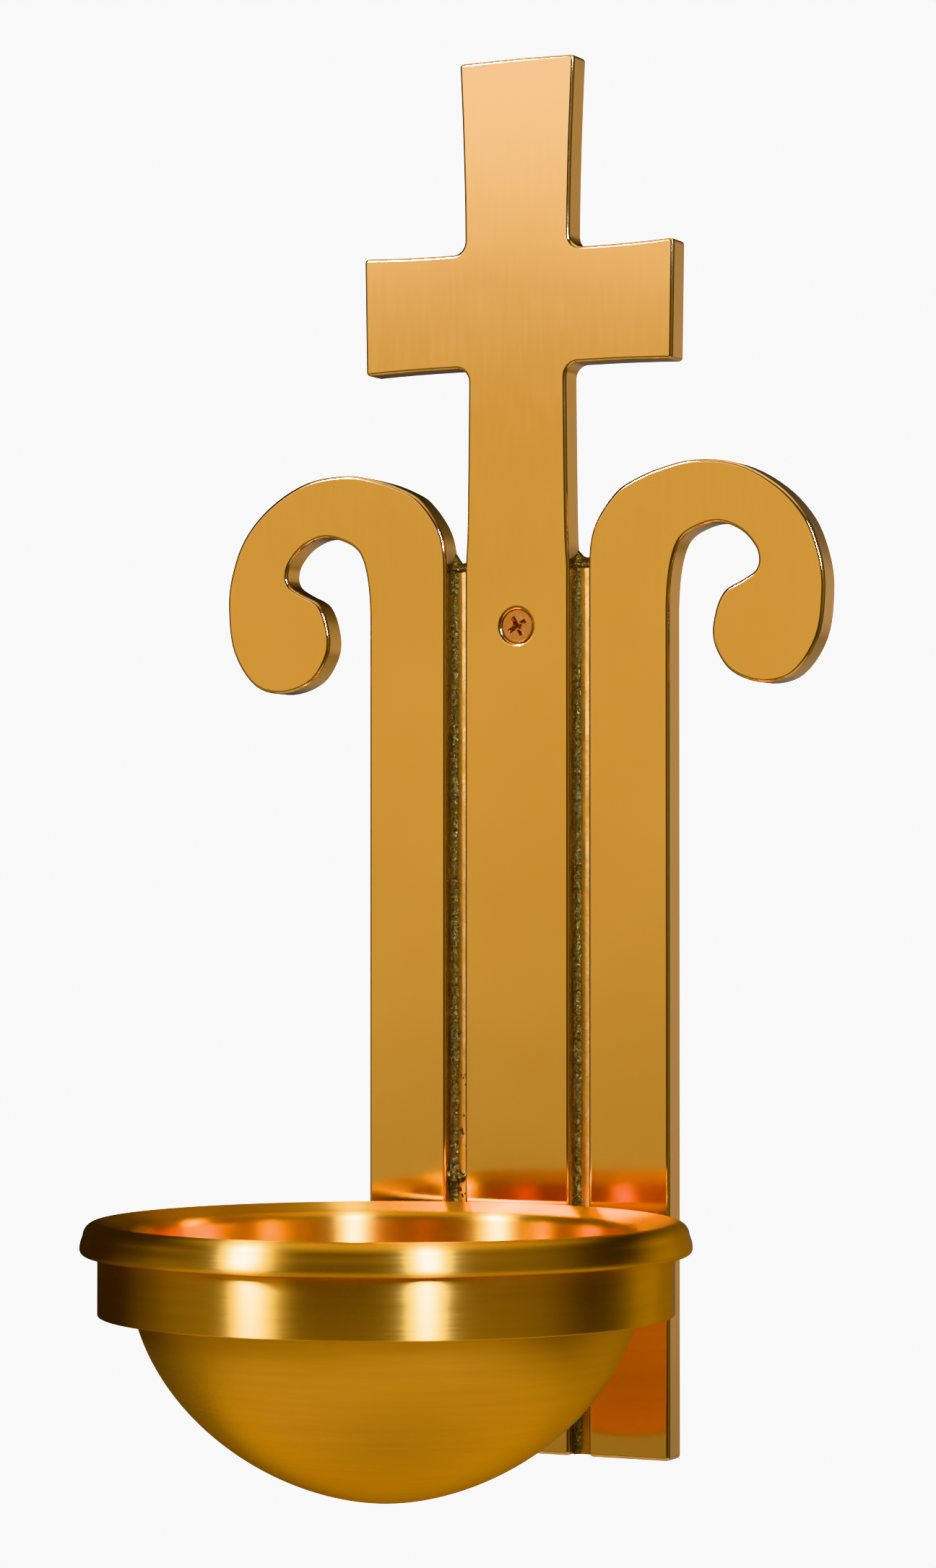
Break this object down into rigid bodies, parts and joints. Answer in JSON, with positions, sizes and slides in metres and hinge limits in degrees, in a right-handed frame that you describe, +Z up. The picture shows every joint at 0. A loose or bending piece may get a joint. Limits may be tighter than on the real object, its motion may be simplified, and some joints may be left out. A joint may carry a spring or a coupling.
{
  "type": "wall-hung holy water font",
  "caption": "Wall-hung brass water font: a cross-shaped back bar between two scrolled side bars carries a ring that holds a round, lift-out bowl.",
  "frame": {"origin": "on the wall plane, on the axis of the upper wall screw", "axes": "+X to the right as seen from the room, +Y into the wall, +Z up"},
  "size_m": [0.181, 0.1972, 0.3878],
  "materials": {
    "polished_brass": "mirror-polished bar, lacquered",
    "spacer_brass": "dull as-cut bar",
    "braze": "rough braze metal with small lumps",
    "satin_brass": "satin, brushed round the axis",
    "screw_brass": "coppery bright screw brass"
  },
  "bodies": {
    "wall_bracket": {"centre_cross_bar": "polished_brass", "left_scroll_bar": "polished_brass", "right_scroll_bar": "polished_brass", "left_spacer_strip": "spacer_brass", "right_spacer_strip": "spacer_brass", "left_outer_braze": "braze", "left_inner_braze": "braze", "right_inner_braze": "braze", "right_outer_braze": "braze", "ring_pad": "satin_brass", "bowl_ring": "satin_brass", "left_ring_screw": "screw_brass", "right_ring_screw": "screw_brass", "upper_wall_screw": "screw_brass", "lower_wall_screw": "screw_brass"},
    "bowl": {"bowl": "satin_brass"}
  },
  "joints": [
    {"name": "bowl_lift", "type": "slide", "parent": "wall_bracket", "child": "bowl", "axis": [0, 0, 1], "range_m": [0, 0.08]}
  ]
}
